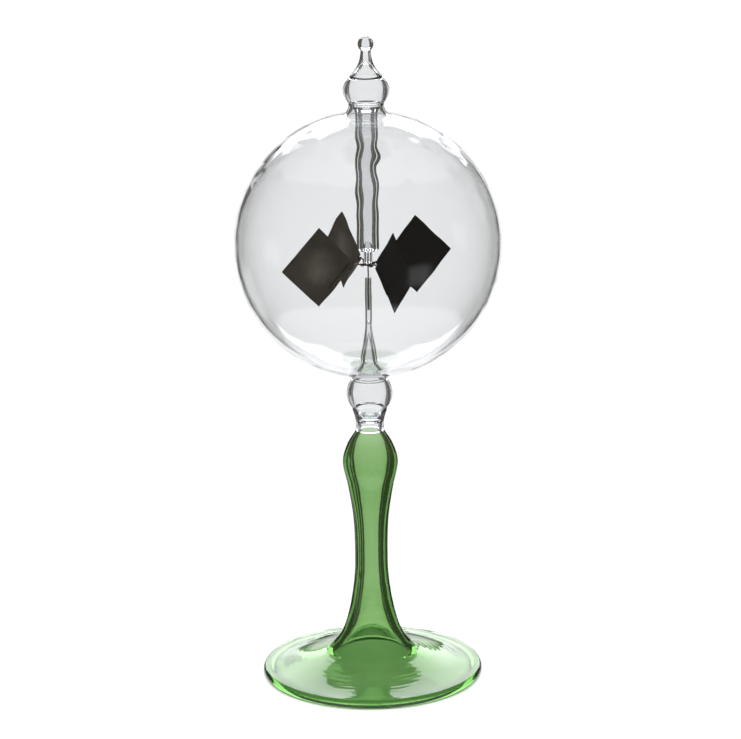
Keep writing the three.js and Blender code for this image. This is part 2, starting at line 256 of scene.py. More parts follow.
# %% [markdown]
# ## Clear glass
# Lamp glass is almost colourless in a thin wall and grey where one looks along it. That
# grey is absorption: it grows with the way that light goes inside the glass, so it is set
# as a volume and not as a surface colour. Blown glass also has cords, very low and long
# waves in its surface, and a little haze. Both are small noise patterns here.

# %% Small helpers for finishes
def new_finish(name):
    material = bpy.data.materials.new(name)
    material.use_nodes = True
    tree = material.node_tree
    return material, tree, tree.nodes["Principled BSDF"]


def noise_on(tree, vector, scale, detail, roughness=0.5):
    node = tree.nodes.new("ShaderNodeTexNoise")
    node.inputs["Scale"].default_value = scale
    node.inputs["Detail"].default_value = detail
    node.inputs["Roughness"].default_value = roughness
    tree.links.new(vector, node.inputs["Vector"])
    return node.outputs["Fac"]


def raise_bumps(tree, shader, height, distance, strength=1.0):
    """Bumps that rise by distance, in metres, where height goes from 0 to 1."""
    node = tree.nodes.new("ShaderNodeBump")
    node.inputs["Strength"].default_value = strength
    node.inputs["Distance"].default_value = distance
    tree.links.new(height, node.inputs["Height"])
    tree.links.new(node.outputs[0], shader.inputs["Normal"])


def vary_gloss(tree, shader, value, glossy, dull, low=0.0, high=1.0):
    """Roughness goes from glossy to dull as the value goes from low to high."""
    node = tree.nodes.new("ShaderNodeMapRange")
    node.inputs["From Min"].default_value = low
    node.inputs["From Max"].default_value = high
    node.inputs["To Min"].default_value = glossy
    node.inputs["To Max"].default_value = dull
    tree.links.new(value, node.inputs["Value"])
    tree.links.new(node.outputs["Result"], shader.inputs["Roughness"])


print("finish helpers ready")


# %% Glass with cords and haze
def glass(name, absorbed, density, cord_size, cord_height):
    material, tree, shader = new_finish(name)
    shader.inputs["Base Color"].default_value = (1.0, 1.0, 1.0, 1.0)
    shader.inputs["Transmission Weight"].default_value = 1.0
    shader.inputs["IOR"].default_value = 1.47

    place = tree.nodes.new("ShaderNodeTexCoord").outputs["Object"]
    stretch = tree.nodes.new("ShaderNodeMapping")
    stretch.inputs["Scale"].default_value = (1.0, 1.0, 0.35)
    tree.links.new(place, stretch.inputs["Vector"])
    cords = noise_on(tree, stretch.outputs[0], 1.0 / cord_size, 2.0)
    raise_bumps(tree, shader, cords, cord_height)
    haze = noise_on(tree, place, 90.0, 4.0)
    vary_gloss(tree, shader, haze, 0.0, 0.03, low=0.55, high=0.80)

    depth = tree.nodes.new("ShaderNodeVolumeAbsorption")
    depth.inputs["Color"].default_value = (*absorbed, 1.0)
    depth.inputs["Density"].default_value = density
    tree.links.new(depth.outputs[0], tree.nodes["Material Output"].inputs["Volume"])
    return material


clear_density = 92.0
clear_glass = glass(
    "clear_blown_glass", absorbed=(0.34, 0.41, 0.47), density=clear_density,
    cord_size=0.012, cord_height=0.00003,
)
print("clear glass takes about", round(clear_density * 0.6 * MM, 3), "of the light per mm")

# %% [markdown]
# ## Green glass
# The stem and foot are coloured through and through. The same recipe serves, with far more
# absorption of red and blue than of green. Thin glass comes out pale and thick glass deep.

# %% Green glass
green_glass = glass(
    "green_blown_glass", absorbed=(0.37, 0.657, 0.203), density=470.0,
    cord_size=0.010, cord_height=0.00005,
)
print("green glass ready")

# %% [markdown]
# ## Turning glass
# A glassblower shapes every piece here while it spins, so each one is a solid of revolution.
# A turned piece is a closed line of (radius, height) points, outside first and going up,
# then inside coming down, carried once round the axis. The first and last ring share their
# points, so there is no seam, and a point on the axis is a single pole.

# %% Lines to turn
def smooth(points, steps=10):
    """An even-flowing line through a few points, with steps pieces in each span."""
    ends = [
        [2 * a - b for a, b in zip(points[0], points[1])],
        [2 * a - b for a, b in zip(points[-1], points[-2])],
    ]
    line = [ends[0], *points, ends[1]]
    result = []
    for before, start, end, after in zip(line, line[1:], line[2:], line[3:]):
        gaps = [math.sqrt(math.dist(p, q)) for p, q in
                ((before, start), (start, end), (end, after))]
        for step in range(steps):
            t = step / steps
            result.append([
                span_value(b, s, e, a, gaps, t)
                for b, s, e, a in zip(before, start, end, after)
            ])
    result.append(list(points[-1]))
    return result


def span_value(before, start, end, after, gaps, t):
    """One coordinate of a centripetal Catmull-Rom span."""
    g0, g1, g2 = gaps
    leave = (start - before) / g0 - (end - before) / (g0 + g1) + (end - start) / g1
    arrive = (end - start) / g1 - (after - start) / (g1 + g2) + (after - end) / g2
    leave, arrive = leave * g1, arrive * g1
    square = 3 * (end - start) - 2 * leave - arrive
    cube = 2 * (start - end) + leave + arrive
    return start + leave * t + square * t * t + cube * t ** 3


def arc(centre, radius, first, last, steps):
    """Points on an arc, with angles in degrees up from the outward direction."""
    angles = [math.radians(first + (last - first) * i / steps) for i in range(steps + 1)]
    return [[centre[0] + radius * math.cos(a), centre[1] + radius * math.sin(a)] for a in angles]


print("a smooth line of", len(smooth([[1, 0], [2, 1], [1, 2]])), "points")


# %% Turn a closed line into a mesh
def turned_shell(outline, around, wobble=None):
    """Vertices and faces of one closed shell. wobble moves a point out or in, by side."""
    vertices = []
    rings = []
    for number, (radius, height) in enumerate(outline):
        if radius < 1e-6:
            rings.append([len(vertices)] * around)
            vertices.append((0.0, 0.0, height * MM))
            continue
        rings.append(list(range(len(vertices), len(vertices) + around)))
        for step in range(around):
            angle = 2 * math.pi * step / around
            out = radius + (wobble(angle, radius, height, number) if wobble else 0.0)
            vertices.append((out * MM * math.cos(angle), out * MM * math.sin(angle), height * MM))
    faces = []
    for ring, following in zip(rings, rings[1:] + rings[:1]):
        for step in range(around):
            ahead = (step + 1) % around
            corners = [ring[step], ring[ahead], following[ahead], following[step]]
            unique = list(dict.fromkeys(corners))
            if len(unique) > 2:
                faces.append(unique)
    return vertices, faces


def make_piece(name, shells, material, corner=35):
    """One object from closed shells, smooth apart from edges sharper than corner degrees."""
    vertices = []
    faces = []
    for shell_vertices, shell_faces in shells:
        start = len(vertices)
        vertices += shell_vertices
        faces += [[start + index for index in face] for face in shell_faces]
    mesh = bpy.data.meshes.new(name)
    mesh.from_pydata(vertices, [], faces)
    mesh.validate()
    mesh.polygons.foreach_set("use_smooth", [True] * len(mesh.polygons))
    mesh.set_sharp_from_angle(angle=math.radians(corner))
    mesh.materials.append(material)
    piece = bpy.data.objects.new(name, mesh)
    bpy.context.scene.collection.objects.link(piece)
    return piece


def stand_for(piece, body, slot, *nodes):
    """The piece moves with a body and hides the measured nodes. The slot is not used."""
    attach(piece, body)
    if nodes:
        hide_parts(*nodes)
    low = min(v.co.z for v in piece.data.vertices)
    high = max(v.co.z for v in piece.data.vertices)
    print(f"{piece.name}: {len(piece.data.polygons)} faces, {low / MM:.2f} to {high / MM:.2f} mm")


def span(node):
    """Lowest height, highest height and largest radius of a measured node, in mm."""
    low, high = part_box(node)
    return low[2] / MM, high[2] / MM, high[0] / MM


def walled(outside, wall):
    return outside + [[radius - wall, height] for radius, height in reversed(outside)]


seal = 0.14     # each fused piece reaches this far, in mm, towards its neighbour
print("foot, bottom, top and radius:", [round(v, 2) for v in span("foot")])

# %% [markdown]
# ## Foot and stem in one
# The foot is a shallow cone of green glass, spun out while hot. Its edge curled into a thick
# round rim. The stem is a tube with a thick wall, pulled long in the flame and opened at the
# bottom into a wide flare, with a bulge called the knop under its top. The two were melted
# together, and no line shows where they meet. The stem's bore opens into the hollow under
# the foot, like the bell of a trumpet, so one closed line goes round both: up the rim, over
# the sloping top, up the outside of the stem, back down its bore and out under the foot.

# %% Foot: the rim and the top
foot_top, foot_radius = span("foot")[1:]
stem_bottom, stem_top, stem_base = span("green_stem")
rim_radius = 1.5
ground_away = 0.12      # how much of the rim is ground flat where it stands
rim_centre = [foot_radius - rim_radius, rim_radius - ground_away]
foot_sag = 1.0          # how far the top dips below a straight slope


def foot_lines():
    run = rim_centre[0] - stem_base
    climb = foot_top - rim_centre[1]
    slope = math.degrees(math.atan2(climb, run) - math.asin(rim_radius / math.hypot(run, climb)))
    stand = math.degrees(math.acos((rim_radius - ground_away) / rim_radius))
    rim = arc(rim_centre, rim_radius, -90 + stand, 90 - slope, 26)
    over = []
    for step in range(1, 118):
        share = step / 120
        radius = rim[-1][0] + (stem_base - rim[-1][0]) * share
        height = rim[-1][1] + (foot_top - rim[-1][1]) * share
        over.append([radius, height - foot_sag * math.sin(math.pi * share)])
    return rim, over


print("foot radius and height, mm:", foot_radius, foot_top)


# %% Stem: the outside, and the bore as a share of it
def stem_lines():
    """Each row is the radius, the height as a share, and the bore's share of the radius."""
    tall = stem_top - stem_bottom
    rows = [
        [9.4, 0.081, 0.73],
        [7.05, 0.18, 0.645],
        [5.3, 0.33, 0.58],
        [5.0, 0.44, 0.56],
        [5.4, 0.607, 0.58],
        [6.9, 0.75, 0.645],
        [8.4, 0.865, 0.73],
        [6.9, 0.94, 0.73],
        [4.25, 1, 0.65],
    ]
    outside = [[stem_base, stem_bottom]]
    outside += [[radius, stem_bottom + climb * tall] for radius, climb, bore in rows]
    inside = [[radius * bore, stem_bottom + climb * tall] for radius, climb, bore in rows]
    outside[-1][1] += seal
    inside[-1][1] += seal
    inside.reverse()
    inside += [
        [9.7, 8.5],
        [12.6, 5.4],
        [16.5, 3.95],
        [21.5, 2.6],
        [26.5, 1.45],
        [rim_centre[0] - 2.3, 0.78],
        [rim_centre[0] - 1.2, 0.22],
        foot_rim[0],
    ]
    return smooth(outside, 14)[2:], smooth(inside, 12)[:-1]


foot_rim, foot_over = foot_lines()
stem_outside, inner_line = stem_lines()
print("stem, mm:", round(stem_bottom, 2), "to", round(stem_top, 2))

# %% Join the lines into one closed line
corner = smooth([foot_over[-1], [stem_base - 0.05, foot_top + 0.12], stem_outside[0]], 5)
green_line = foot_rim + foot_over + corner[1:-1] + stem_outside + inner_line


def hand_made(angle, radius, height, number):
    """Slow unevenness all over."""
    where = Vector((radius * math.cos(angle), radius * math.sin(angle), 2.0 * height))
    return 0.03 * noise.noise(where * 0.2)


foot_and_stem = make_piece(
    "green_foot_and_stem", [turned_shell(green_line, 160, hand_made)], green_glass,
)


def spin_rings(mesh):
    """Raise low uneven rings and slow waves on the foot's top, up to 0.2 mm."""
    facing_up = [vertex.normal.z > 0.5 for vertex in mesh.vertices]
    for vertex, up in zip(mesh.vertices, facing_up):
        radius = math.hypot(vertex.co.x, vertex.co.y) / MM
        if not up or not 13.5 < radius < 32.5:
            continue
        where = vertex.co / MM
        fade = min(1.0, (radius - 13.5) / 2, (32.5 - radius) / 1.5)
        ring = 0.020 * math.sin(2 * math.pi * (radius + 0.5 * noise.noise(where * 0.09)) / 1.9)
        slow = 0.20 * noise.noise(Vector((where.x, where.y, 5.0)) * 0.12)
        vertex.co.z += (ring * (0.4 + noise.noise(where * 0.2)) + slow) * fade * MM


spin_rings(foot_and_stem.data)
stand_for(foot_and_stem, "glass_body", "green_glass", "foot", "green_stem")

# %% [markdown]
# ## The neck and the two beads
# A short clear tube is fused to the green top. Inside it a thin wall closes the bulb off.
# Above it, and again above the bulb, the tube was blown out into a bead.

# %% Stem neck
neck_bottom, neck_top, neck_radius = span("stem_neck")


def stem_neck_outline():
    tall = neck_top - neck_bottom
    bore = 3.05
    narrow = 4.25
    outside = smooth([
        [narrow, neck_bottom],
        [narrow, neck_bottom + 0.4 * tall],
        [4.6, neck_bottom + 0.65 * tall],
        [neck_radius, neck_top],
    ], 8)
    outside[0][1] -= seal
    outside[-1][1] += seal
    wall_under = smooth([
        [0, neck_bottom + 3.9], [1.9, neck_bottom + 3.6], [bore, neck_bottom + 2.6],
    ], 6)
    wall_over = smooth([
        [bore, neck_bottom + 5.0], [1.6, neck_bottom + 4.55], [0, neck_bottom + 4.7],
    ], 6)
    return (
        wall_under
        + [[bore, neck_bottom - seal]]
        + outside
        + [[neck_radius - 1.2, neck_top + seal], [bore + 0.35, neck_bottom + 0.85 * tall]]
        + wall_over
    )


neck_glass = make_piece("neck_glass", [turned_shell(stem_neck_outline(), 96)], clear_glass)
stand_for(neck_glass, "glass_body", "clear_glass", "stem_neck")


# %% Beads
def bead_outline(bottom, top, radius, crest, bottom_radius, top_radius, wall):
    tall = top - bottom
    outside = smooth([
        [bottom_radius, bottom],
        [bottom_radius + 0.72 * (radius - bottom_radius), bottom + 0.45 * crest * tall],
        [radius, bottom + crest * tall],
        [top_radius + 0.72 * (radius - top_radius), bottom + 0.5 * (1 + crest) * tall],
        [top_radius, top],
    ], 10)
    outside[0][1] -= seal
    outside[-1][1] += seal
    return walled(outside, wall)


bead_bottom, bead_top, bead_radius = span("lower_bead")
low_neck, high_neck = 5.65, 5.3        # the bulb's two necks, outside radius
bead_wall = 1.3
lower_bead_line = bead_outline(
    bead_bottom, bead_top, bead_radius, 0.48, neck_radius, low_neck, bead_wall,
)
lower_bead = make_piece("bead_under_bulb", [turned_shell(lower_bead_line, 112)], clear_glass)
stand_for(lower_bead, "glass_body", "clear_glass", "lower_bead")

cap_bead_bottom, cap_bead_top, cap_bead_radius = span("top_bead")
finial_bottom, finial_top, finial_radius = span("finial")
top_bead_line = bead_outline(
    cap_bead_bottom, cap_bead_top, cap_bead_radius, 0.56, high_neck, finial_radius, bead_wall,
)
top_bead = make_piece("bead_over_bulb", [turned_shell(top_bead_line, 112)], clear_glass)
stand_for(top_bead, "glass_body", "clear_glass", "top_bead")

# %% [markdown]
# ## The bulb
# The bulb is a ball of thin glass with a neck at each end. A blown ball is never perfect:
# near the upper neck the glass was heated again, and there its two surfaces run in long
# low waves. A noise pattern moves the outside and the inside separately, most near the
# top, and the waves bend the edge of the bright backdrop into streaks.

# %% Bulb
bulb_bottom, bulb_top, bulb_radius = span("globe")
bulb_centre = 135.6
bulb_wall = 1.1


def bulb_side(depth, steps):
    """One side of the bulb's wall, bottom to top, at a depth under the outside."""
    low_round, high_round = 2.0, 3.0        # radius of the hollow curve into each neck
    low_out = low_neck + low_round
    high_out = high_neck + high_round
    low_rise = math.sqrt((bulb_radius + low_round) ** 2 - low_out ** 2)
    high_rise = math.sqrt((bulb_radius + high_round) ** 2 - high_out ** 2)
    low_angle = math.degrees(math.atan2(low_rise, low_out))
    high_angle = math.degrees(math.atan2(high_rise, high_out))
    low_curve = arc([low_out, bulb_centre - low_rise], low_round + depth, 180, 180 - low_angle, 10)
    ball = arc([0, bulb_centre], bulb_radius - depth, -low_angle, high_angle, steps)
    high_curve = arc(
        [high_out, bulb_centre + high_rise], high_round + depth, 180 + high_angle, 180, 12,
    )
    return (
        [[low_neck - depth, bulb_bottom - seal]]
        + low_curve[:-1] + ball + high_curve[1:]
        + [[high_neck - depth, bulb_top + seal]]
    )


bulb_outside = bulb_side(0.0, 110)
bulb_inside = bulb_side(bulb_wall, 90)[::-1]


def bulb_wobble(angle, radius, height, number):
    if radius < 9:
        return 0.0
    inside = 31.0 if number >= len(bulb_outside) else 0.0
    where = Vector((radius * math.cos(angle), radius * math.sin(angle), height * 1.6 + inside))
    near_top = min(1.0, max(0.0, (height - bulb_centre - 12) / 22))
    near_bottom = min(1.0, max(0.0, (bulb_centre - 24 - height) / 14))
    strength = 0.02 + 0.34 * near_top ** 1.5 + 0.08 * near_bottom
    return strength * noise.noise(where * 0.15) * min(1.0, (radius - 9) / 6)


bulb_glass = make_piece(
    "bulb_glass",
    [turned_shell(bulb_outside + bulb_inside, 224, bulb_wobble)],
    clear_glass,
)
stand_for(bulb_glass, "glass_body", "clear_glass", "globe")

# %% [markdown]
# ## The finial
# The bulb was emptied of air through the top and then sealed off. The drawn tip was
# finished with a small ball. It is hollow only near its base.

# %% Finial
print("finial height, mm:", round(finial_top - finial_bottom, 2))


def finial_outline():
    cone = 7.8
    ball_radius = 2.35
    neck = 1.5
    drop = math.sqrt(ball_radius ** 2 - neck ** 2)
    outside = smooth([
        [finial_radius, finial_bottom],
        [0.74 * finial_radius, finial_bottom + 0.19 * cone],
        [neck + 0.7, finial_bottom + 0.5 * cone],
        [neck + 0.1, finial_bottom + 0.83 * cone],
        [neck, finial_bottom + cone],
    ], 10)
    outside[0][1] -= seal
    first = -math.degrees(math.atan2(drop, neck))
    ball = arc([0, finial_bottom + cone + drop], ball_radius, first, 90, 28)
    bore = smooth([
        [0, finial_bottom + 4.6],
        [0.9, finial_bottom + 3.6],
        [1.7, finial_bottom + 2.3],
        [finial_radius - 1.2, finial_bottom - seal],
    ], 7)
    return bore + outside + ball[1:-1] + [[0, finial_bottom + cone + drop + ball_radius]]


finial_glass = make_piece("finial_glass", [turned_shell(finial_outline(), 96)], clear_glass)
stand_for(finial_glass, "glass_body", "clear_glass", "finial")

# %% [markdown]
# ## The glass inside the bulb
# A tube hangs from the upper neck and ends low over the mill's cap, so the mill can't jump
# off. A holder stands in the lower neck: hollow and flared at the bottom, then a thin rod
# with the needle sunk in its top. A small air bubble stayed where the rod closes.

# %% Tube over the mill
tube_bottom, tube_top, collar_radius = span("retaining_tube")


def tube_outline():
    bore, outer = 1.8, 3.35
    lip = 0.5 * (outer - bore)
    return (
        [[bore, tube_top]]
        + arc([outer - lip, tube_bottom + lip], lip, -180, 0, 14)
        + smooth([[outer, tube_top - 3.4], [outer + 0.1, tube_top - 2.0],
                  [collar_radius, tube_top - 0.9], [collar_radius, tube_top]], 6)
    )


def tube_wobble(angle, radius, height, number):
    where = Vector((math.cos(angle), math.sin(angle), height * 0.12 + (9.0 if radius < 3 else 0.0)))
    return 0.018 * noise.noise(where * 1.1) * min(1.0, (tube_top - height) / 6)


def fill_in(outline, longest):
    """Add points so that no piece of the line is longer than longest."""
    filled = []
    for here, there in zip(outline, outline[1:] + outline[:1]):
        pieces = max(1, math.ceil(math.dist(here, there) / longest))
        for step in range(pieces):
            filled.append([a + (b - a) * step / pieces for a, b in zip(here, there)])
    return filled


tube_line = fill_in(tube_outline(), 0.8)
tube_glass = make_piece("tube_glass", [turned_shell(tube_line, 80, tube_wobble)], clear_glass)
stand_for(tube_glass, "glass_body", "clear_glass", "retaining_tube")

# %% Needle holder
holder_bottom, holder_top, holder_base = span("needle_holder")
needle_bottom, needle_top, needle_radius = span("needle")
needle_bore = needle_radius + 0.05


def holder_outline():
    flare_top = holder_top - 14.7
    tall = holder_top - holder_bottom
    flare = smooth([
        [holder_base, holder_bottom],
        [2.75, holder_bottom + 0.12 * tall],
        [2.42, holder_bottom + 0.22 * tall],
        [1.51, holder_bottom + 0.38 * tall],
        [0.98, flare_top],
    ], 9)
    hollow = smooth([
        [0, flare_top - 2.0],
        [0.41, holder_bottom + 0.38 * tall],
        [1.35, holder_bottom + 0.22 * tall],
        [1.85, holder_bottom + 0.12 * tall],
        [holder_base - 0.9, holder_bottom],
    ], 9)
    return (
        hollow + flare
        + [[0.98, holder_top - 0.12], [0.9, holder_top], [needle_bore, holder_top]]
        + [[needle_bore, needle_bottom - 0.1], [0, needle_bottom - 0.3]]
    )


def bubble_outline(height, radius, tall):
    """A hole in the glass, so its line runs the other way: top to bottom."""
    return [[radius * math.sin(math.pi * i / 16), height + tall * math.cos(math.pi * i / 16)]
            for i in range(17)]


holder_line = fill_in(holder_outline(), 0.9)
bubble_line = bubble_outline(111.6, 0.42, 0.75)
holder_glass = make_piece(
    "holder_glass",
    [turned_shell(holder_line, 64), turned_shell(bubble_line, 32)],
    clear_glass,
)
stand_for(holder_glass, "glass_body", "clear_glass", "needle_holder")

# %% [markdown]
# ## Steel
# The needle and the mill's wires are steel. Drawn wire is not a mirror: it has fine lines
# along its length and a thin brown-black oxide. One fine noise gives the colour changes,
# the uneven gloss and the low bumps.

# %% Steel finish
def steel(name, dark, light, gloss):
    material, tree, shader = new_finish(name)
    shader.inputs["Metallic"].default_value = 1.0
    place = tree.nodes.new("ShaderNodeTexCoord").outputs["Object"]
    grain = noise_on(tree, place, 2400.0, 3.0)
    tree.links.new(
        blend_colours(tree, grain, (*dark, 1.0), (*light, 1.0)), shader.inputs["Base Color"],
    )
    vary_gloss(tree, shader, grain, gloss, gloss + 0.25)
    raise_bumps(tree, shader, grain, 0.000004)
    return material


needle_steel = steel("needle_steel", (0.20, 0.19, 0.18), (0.40, 0.38, 0.36), 0.25)
wire_steel = steel("dark_wire", (0.10, 0.09, 0.08), (0.26, 0.24, 0.21), 0.35)
print("steel finishes:", needle_steel.name, wire_steel.name)

# %% Needle
def needle_outline():
    point = smooth([
        [needle_radius, needle_top - 1.8],
        [0.72 * needle_radius, needle_top - 0.9],
        [0.30 * needle_radius, needle_top - 0.2],
        [0, needle_top],
    ], 5)
    return [[0, needle_bottom], [needle_radius, needle_bottom]] + point


needle = make_piece("needle_pin", [turned_shell(fill_in(needle_outline(), 1.5)[:-1], 32)],
                    needle_steel)
stand_for(needle, "glass_body", "needle_steel", "needle")

# %% [markdown]
# ## The mill's cap
# The whole mill hangs on a small glass cup, open below, that rests on the needle's point.
# Its wall is thick for its size, and its lower edge was melted round.

# %% Cap
cap_bottom, cap_top, cap_radius = span("bearing_cap")


def cap_outline():
    bore = 0.75
    bearing = needle_top + 0.1
    lip = 0.5 * (cap_radius - bore)
    inside = smooth([[0, bearing], [0.35, bearing - 0.45], [bore, bearing - 1.3]], 6)
    rim = arc([bore + lip, cap_bottom + lip], lip, -180, 0, 10)
    dome = arc([0, cap_top - cap_radius], cap_radius, 0, 90, 16)
    return inside + rim + dome[:-1] + [[0, cap_top]]


cap_glass = make_piece("cap_glass", [turned_shell(cap_outline(), 64)], clear_glass)
stand_for(cap_glass, "mill", "clear_glass", "bearing_cap")

# %% [markdown]
# ## Wires, four times round
# One wire arm runs from under the cap out to a vane, bends at the vane's corner and goes
# down inside its folded edge. Four arms are the same, a quarter turn apart, so one path is
# drawn and Geometry Nodes do the rest: they give the path its thickness, repeat it about
# the axis and realize the copies. The same tree makes the ring and the binding wire.

# %% A tree that thickens a path and repeats it about the axis
def new_tree(name, sizes):
    tree = bpy.data.node_groups.new(name, "GeometryNodeTree")
    tree.interface.new_socket("Geometry", in_out="INPUT", socket_type="NodeSocketGeometry")
    for label, kind in sizes:
        tree.interface.new_socket(label, in_out="INPUT", socket_type=kind)
    tree.interface.new_socket("Geometry", in_out="OUTPUT", socket_type="NodeSocketGeometry")
    given = tree.nodes.new("NodeGroupInput")
    result = tree.nodes.new("NodeGroupOutput")
    return tree, given.outputs, result.inputs


def repeat_about_axis(tree, geometry, count, first_turn):
    """Copies of the geometry at even turns about Z, as real mesh."""
    points = tree.nodes.new("GeometryNodePoints")
    tree.links.new(count, points.inputs["Count"])
    number = tree.nodes.new("GeometryNodeInputIndex").outputs[0]
    one_turn = sum_up(tree, "DIVIDE", 2 * math.pi, count)
    angle = sum_up(tree, "MULTIPLY_ADD", number, one_turn, first_turn)
    turn_by = tree.nodes.new("ShaderNodeCombineXYZ")
    tree.links.new(angle, turn_by.inputs["Z"])
    copies = tree.nodes.new("GeometryNodeInstanceOnPoints")
    tree.links.new(points.outputs[0], copies.inputs["Points"])
    tree.links.new(geometry, copies.inputs["Instance"])
    tree.links.new(turn_by.outputs[0], copies.inputs["Rotation"])
    real = tree.nodes.new("GeometryNodeRealizeInstances")
    tree.links.new(copies.outputs[0], real.inputs[0])
    return real.outputs[0]


def wire_tree():
    tree, given, result = new_tree("wire_about_axis", [
        ("Wire Radius", "NodeSocketFloat"),
        ("Count", "NodeSocketInt"),
        ("First Turn", "NodeSocketFloat"),
        ("Finish", "NodeSocketMaterial"),
    ])
    line = tree.nodes.new("GeometryNodeMeshToCurve")
    tree.links.new(given["Geometry"], line.inputs[0])
    section = tree.nodes.new("GeometryNodeCurvePrimitiveCircle")
    section.inputs["Resolution"].default_value = 14
    tree.links.new(given["Wire Radius"], section.inputs["Radius"])
    tube = tree.nodes.new("GeometryNodeCurveToMesh")
    tube.inputs["Fill Caps"].default_value = True
    tree.links.new(line.outputs[0], tube.inputs["Curve"])
    tree.links.new(section.outputs[0], tube.inputs["Profile Curve"])
    round_look = tree.nodes.new("GeometryNodeSetShadeSmooth")
    tree.links.new(tube.outputs[0], round_look.inputs["Geometry"])
    real = repeat_about_axis(tree, round_look.outputs[0], given["Count"], given["First Turn"])
    coat = tree.nodes.new("GeometryNodeSetMaterial")
    tree.links.new(real, coat.inputs["Geometry"])
    tree.links.new(given["Finish"], coat.inputs["Material"])
    tree.links.new(coat.outputs[0], result["Geometry"])
    return tree


wires = wire_tree()
print("wire tree inputs:", [item.name for item in wires.interface.items_tree])


# %% Run a tree and keep plain mesh
def run_tree(name, mesh, tree, sizes):
    """Put the tree on a mesh, set its inputs by identifier, and return a plain object."""
    source = bpy.data.objects.new(name + "_source", mesh)
    bpy.context.scene.collection.objects.link(source)
    modifier = source.modifiers.new("repeat", "NODES")
    modifier.node_group = tree
    keys = {item.name: item.identifier for item in tree.interface.items_tree
            if item.in_out == "INPUT"}
    for label, value in sizes.items():
        modifier[keys[label]] = value
    ready = source.evaluated_get(bpy.context.evaluated_depsgraph_get())
    plain = bpy.data.meshes.new_from_object(ready)
    plain.name = name
    piece = bpy.data.objects.new(name, plain)
    bpy.context.scene.collection.objects.link(piece)
    source.modifiers.remove(modifier)
    bpy.data.objects.remove(source)
    print(name, "materials:", [m.name for m in plain.materials if m])
    return piece


def path_mesh(name, lines):
    """A mesh of bare edges from lines of points in mm."""
    vertices = []
    edges = []
    for line, closed in lines:
        start = len(vertices)
        vertices += [tuple(value * MM for value in point) for point in line]
        edges += [(start + i, start + i + 1) for i in range(len(line) - 1)]
        if closed:
            edges.append((len(vertices) - 1, start))
    mesh = bpy.data.meshes.new(name)
    mesh.from_pydata(vertices, edges, [])
    return mesh


print("ready to repeat")

# %% [markdown]
# ## Where a vane sits
# Each vane is a small square sheet that stands on one corner. Its lower inner edge points
# 44 degrees below level. All four are drawn on the arm that lies along +X and then turned.
# sideways is the way the mill turns, along runs down the folded edge and across runs up
# into the sheet.

# %% The vane's own axes
tilt = math.radians(43.9)
first_turn = math.radians(27.3)
ring_height = 0.5 * (span("spider_ring")[0] + span("spider_ring")[1])
ring_radius = 1.025
wire_radius = 0.2
vane_side = 17.05
sheet_thickness = 0.2
hem_length = 11.0
hem_width = 1.6
fold_centre = 0.5
inner_corner = Vector((4.4, 0.0, ring_height + 0.8))
sideways = Vector((0.0, 1.0, 0.0))
across = Vector((math.sin(tilt), 0.0, math.cos(tilt)))
along = Vector((math.cos(tilt), 0.0, -math.sin(tilt)))


def on_vane(side, up, down):
    """A point from its distances sideways, across and along, in mm."""
    return inner_corner + side * sideways + up * across + down * along


print("inner corner of a vane, mm:", [round(v, 2) for v in inner_corner])

# %% Arms
def arm_path():
    start = [ring_radius, 0.0, ring_height - 0.02]
    bend = list(on_vane(0, fold_centre, 0.35))
    return smooth([
        start,
        [ring_radius + 1.1, 0.05, ring_height + 0.10],
        [0.5 * (ring_radius + bend[0]) + 0.5, -0.04, 0.5 * (ring_height + bend[2]) + 0.12],
        bend,
        list(on_vane(0, fold_centre, 1.4)),
        list(on_vane(0.02, fold_centre, 5.5)),
        list(on_vane(0, fold_centre, hem_length - 0.4)),
    ], 8)


arms = run_tree(
    "wire_arms", path_mesh("arm_path", [(arm_path(), False)]), wires,
    {"Wire Radius": wire_radius * MM, "Count": 4, "First Turn": first_turn, "Finish": wire_steel},
)
stand_for(arms, "mill", "arm_wire", "arm_1", "arm_2", "arm_3", "arm_4")

# %% Ring under the cap
ring_path = [
    [ring_radius * math.cos(2 * math.pi * i / 48), ring_radius * math.sin(2 * math.pi * i / 48),
     ring_height]
    for i in range(48)
]
ring = run_tree(
    "wire_ring", path_mesh("ring_path", [(ring_path, True)]), wires,
    {"Wire Radius": wire_radius * MM, "Count": 1, "First Turn": 0.0, "Finish": wire_steel},
)
stand_for(ring, "mill", "arm_wire", "spider_ring")

# %% [markdown]
# ## The binding
# Thin wire is wound round each arm where it leaves the ring, so that nothing slips. It is a
# short coil that slants, as a hand winds it.

# %% Binding wire
def binding_path():
    turns = 3.5
    points = []
    for step in range(64):
        share = step / 63
        angle = 2 * math.pi * turns * share
        grip = 0.36 + 0.03 * math.sin(7 * share)
        reach = ring_radius + 0.25 + 1.25 * share
        points.append([
            reach + 0.12 * math.cos(angle),
            grip * math.cos(angle),
            ring_height + 0.03 + 0.1 * share + grip * math.sin(angle),
        ])
    return points


binding = run_tree(
    "binding_wire", path_mesh("binding_path", [(binding_path(), False)]), wires,
    {"Wire Radius": 0.11 * MM, "Count": 4, "First Turn": first_turn, "Finish": wire_steel},
)
stand_for(binding, "mill", "arm_wire")

# %% [markdown]
# ## The vanes' two faces
# The bare face is thin rolled metal, grey-brown and dull, paler and cloudy towards the
# middle. The other face is coated with soot, which is one of the darkest things there is.
# Both patterns use the sheet's own flat coordinates, so they move with the vane.

# %% Bare metal
def sheet_coordinates(tree):
    flat = tree.nodes.new("ShaderNodeUVMap")
    flat.uv_map = "sheet"
    return flat.outputs[0]


